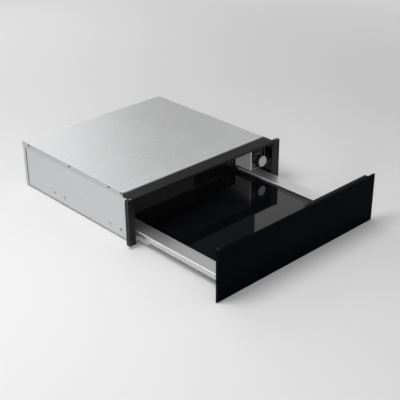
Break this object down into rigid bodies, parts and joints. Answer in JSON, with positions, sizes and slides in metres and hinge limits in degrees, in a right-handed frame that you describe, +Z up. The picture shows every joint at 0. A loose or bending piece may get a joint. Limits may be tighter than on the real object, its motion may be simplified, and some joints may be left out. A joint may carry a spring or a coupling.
{
  "type": "built-in warming drawer",
  "caption": "Built-in warming drawer: galvanised housing with a black frame, control box and blower, and a pull-out drawer with a glass warming plate and black glass front.",
  "frame": {"origin": "middle of the bounding box at floor level, with the drawer fully open", "axes": "+X to the user's right, +Y to the back of the niche, +Z up"},
  "size_m": [0.594, 0.855, 0.1425],
  "materials": {
    "base_pan": "satin zinc-plated sheet",
    "left_side_panel": "satin zinc-plated sheet",
    "right_side_panel": "satin zinc-plated sheet",
    "rear_panel": "satin zinc-plated sheet",
    "top_cover": "satin zinc-plated sheet",
    "cover_screws": "bright zinc plating",
    "rubber_pads": "matt moulded rubber",
    "top_rail": "satin black enamel",
    "left_post": "fine-grained black",
    "right_post": "fine-grained black",
    "frame_screws": "bright zinc plating",
    "control_box": "satin grey sheet",
    "control_fascia": "glossy black",
    "thermostat": "pressed steel case",
    "thermostat_spindle": "turned steel",
    "temperature_knob": "fine-grained black",
    "knob_cap": "spun satin aluminium",
    "switch_body": "fine-grained black",
    "switch_rocker": "glossy black",
    "pilot_lamp": "translucent amber lens",
    "rear_baffle": "satin zinc-plated sheet",
    "blower_casing": "satin zinc-plated sheet",
    "blower_impeller": "pressed blades",
    "blower_motor": "laminated stack",
    "bearing_bush": "sintered bronze",
    "heating_element": "oxidised steel sheath",
    "heater_guard": "satin zinc-plated sheet",
    "safety_cutout": "brown moulding",
    "terminal_block": "white moulding",
    "cable_gland": "fine-grained black",
    "wiring_loom": "black sleeve",
    "left_fixed_rail": "bright zinc-plated steel",
    "right_fixed_rail": "bright zinc-plated steel",
    "left_middle_rail": "bright zinc-plated steel",
    "right_middle_rail": "bright zinc-plated steel",
    "left_drawer_rail": "bright zinc-plated steel",
    "right_drawer_rail": "bright zinc-plated steel",
    "latch_body": "dark grey moulding",
    "latch_plunger": "white moulding",
    "latch_striker": "bright zinc plating",
    "drawer_tray": "satin zinc-plated sheet",
    "drawer_left_side": "satin stainless sheet",
    "drawer_right_side": "satin stainless sheet",
    "drawer_front_rim": "satin stainless sheet",
    "drawer_rear_wall": "satin dark grey enamel",
    "glass_supports": "satin zinc-plated sheet",
    "glass_plate": "black toughened glass",
    "glass_trim": "dark printed border",
    "front_backplate": "satin black enamel",
    "front_inner_panel": "satin black enamel",
    "front_glass": "black glass with polished edges",
    "front_brackets": "satin zinc-plated sheet",
    "front_screws": "bright zinc plating",
    "front_buffers": "matt rubber"
  },
  "bodies": {
    "housing": {"base_pan": "base_pan", "left_side_panel": "left_side_panel", "right_side_panel": "right_side_panel", "rear_panel": "rear_panel", "top_cover": "top_cover", "cover_screws": "cover_screws", "rubber_pads": "rubber_pads", "top_rail": "top_rail", "left_post": "left_post", "right_post": "right_post", "frame_screws": "frame_screws", "control_box": "control_box", "control_fascia": "control_fascia", "thermostat": "thermostat", "switch_body": "switch_body", "pilot_lamp": "pilot_lamp", "rear_baffle": "rear_baffle", "blower_casing": "blower_casing", "blower_motor": "blower_motor", "bearing_bush": "bearing_bush", "heating_element": "heating_element", "heater_guard": "heater_guard", "safety_cutout": "safety_cutout", "terminal_block": "terminal_block", "cable_gland": "cable_gland", "wiring_loom": "wiring_loom", "left_fixed_rail": "left_fixed_rail", "right_fixed_rail": "right_fixed_rail", "latch_body": "latch_body"},
    "knob": {"thermostat_spindle": "thermostat_spindle", "temperature_knob": "temperature_knob", "knob_cap": "knob_cap"},
    "rocker": {"switch_rocker": "switch_rocker"},
    "impeller": {"blower_impeller": "blower_impeller"},
    "left_middle": {"left_middle_rail": "left_middle_rail"},
    "right_middle": {"right_middle_rail": "right_middle_rail"},
    "plunger": {"latch_plunger": "latch_plunger"},
    "drawer": {"left_drawer_rail": "left_drawer_rail", "right_drawer_rail": "right_drawer_rail", "latch_striker": "latch_striker", "drawer_tray": "drawer_tray", "drawer_left_side": "drawer_left_side", "drawer_right_side": "drawer_right_side", "drawer_front_rim": "drawer_front_rim", "drawer_rear_wall": "drawer_rear_wall", "glass_supports": "glass_supports", "glass_plate": "glass_plate", "glass_trim": "glass_trim", "front_backplate": "front_backplate", "front_inner_panel": "front_inner_panel", "front_glass": "front_glass", "front_brackets": "front_brackets", "front_screws": "front_screws", "front_buffers": "front_buffers"}
  },
  "joints": [
    {"name": "drawer_slide", "type": "slide", "parent": "housing", "child": "drawer", "axis": [0, -1, 0], "range_m": [-0.313, 0]},
    {"name": "left_rail_slide", "type": "slide", "parent": "housing", "child": "left_middle", "axis": [0, -1, 0], "range_m": [-0.1565, 0]},
    {"name": "right_rail_slide", "type": "slide", "parent": "housing", "child": "right_middle", "axis": [0, -1, 0], "range_m": [-0.1565, 0]},
    {"name": "knob_turn", "type": "hinge", "parent": "housing", "child": "knob", "pos_m": [0.2315, -0.055, 0.0825], "axis": [0, 1, 0], "range_deg": [0, 270]},
    {"name": "rocker_tilt", "type": "hinge", "parent": "housing", "child": "rocker", "pos_m": [0.22325, -0.0505, 0.117], "axis": [1, 0, 0], "range_deg": [-16, 0]},
    {"name": "impeller_spin", "type": "hinge", "parent": "housing", "child": "impeller", "pos_m": [-0.13148, 0.3895, 0.074], "axis": [1, 0, 0], "continuous": true},
    {"name": "plunger_press", "type": "slide", "parent": "housing", "child": "plunger", "axis": [0, 1, 0], "range_m": [0, 0.004], "stiffness_N_per_m": 400}
  ],
  "couplings": [
    {"joint": "left_rail_slide", "follows": "drawer_slide", "ratio": 0.5},
    {"joint": "right_rail_slide", "follows": "drawer_slide", "ratio": 0.5}
  ]
}
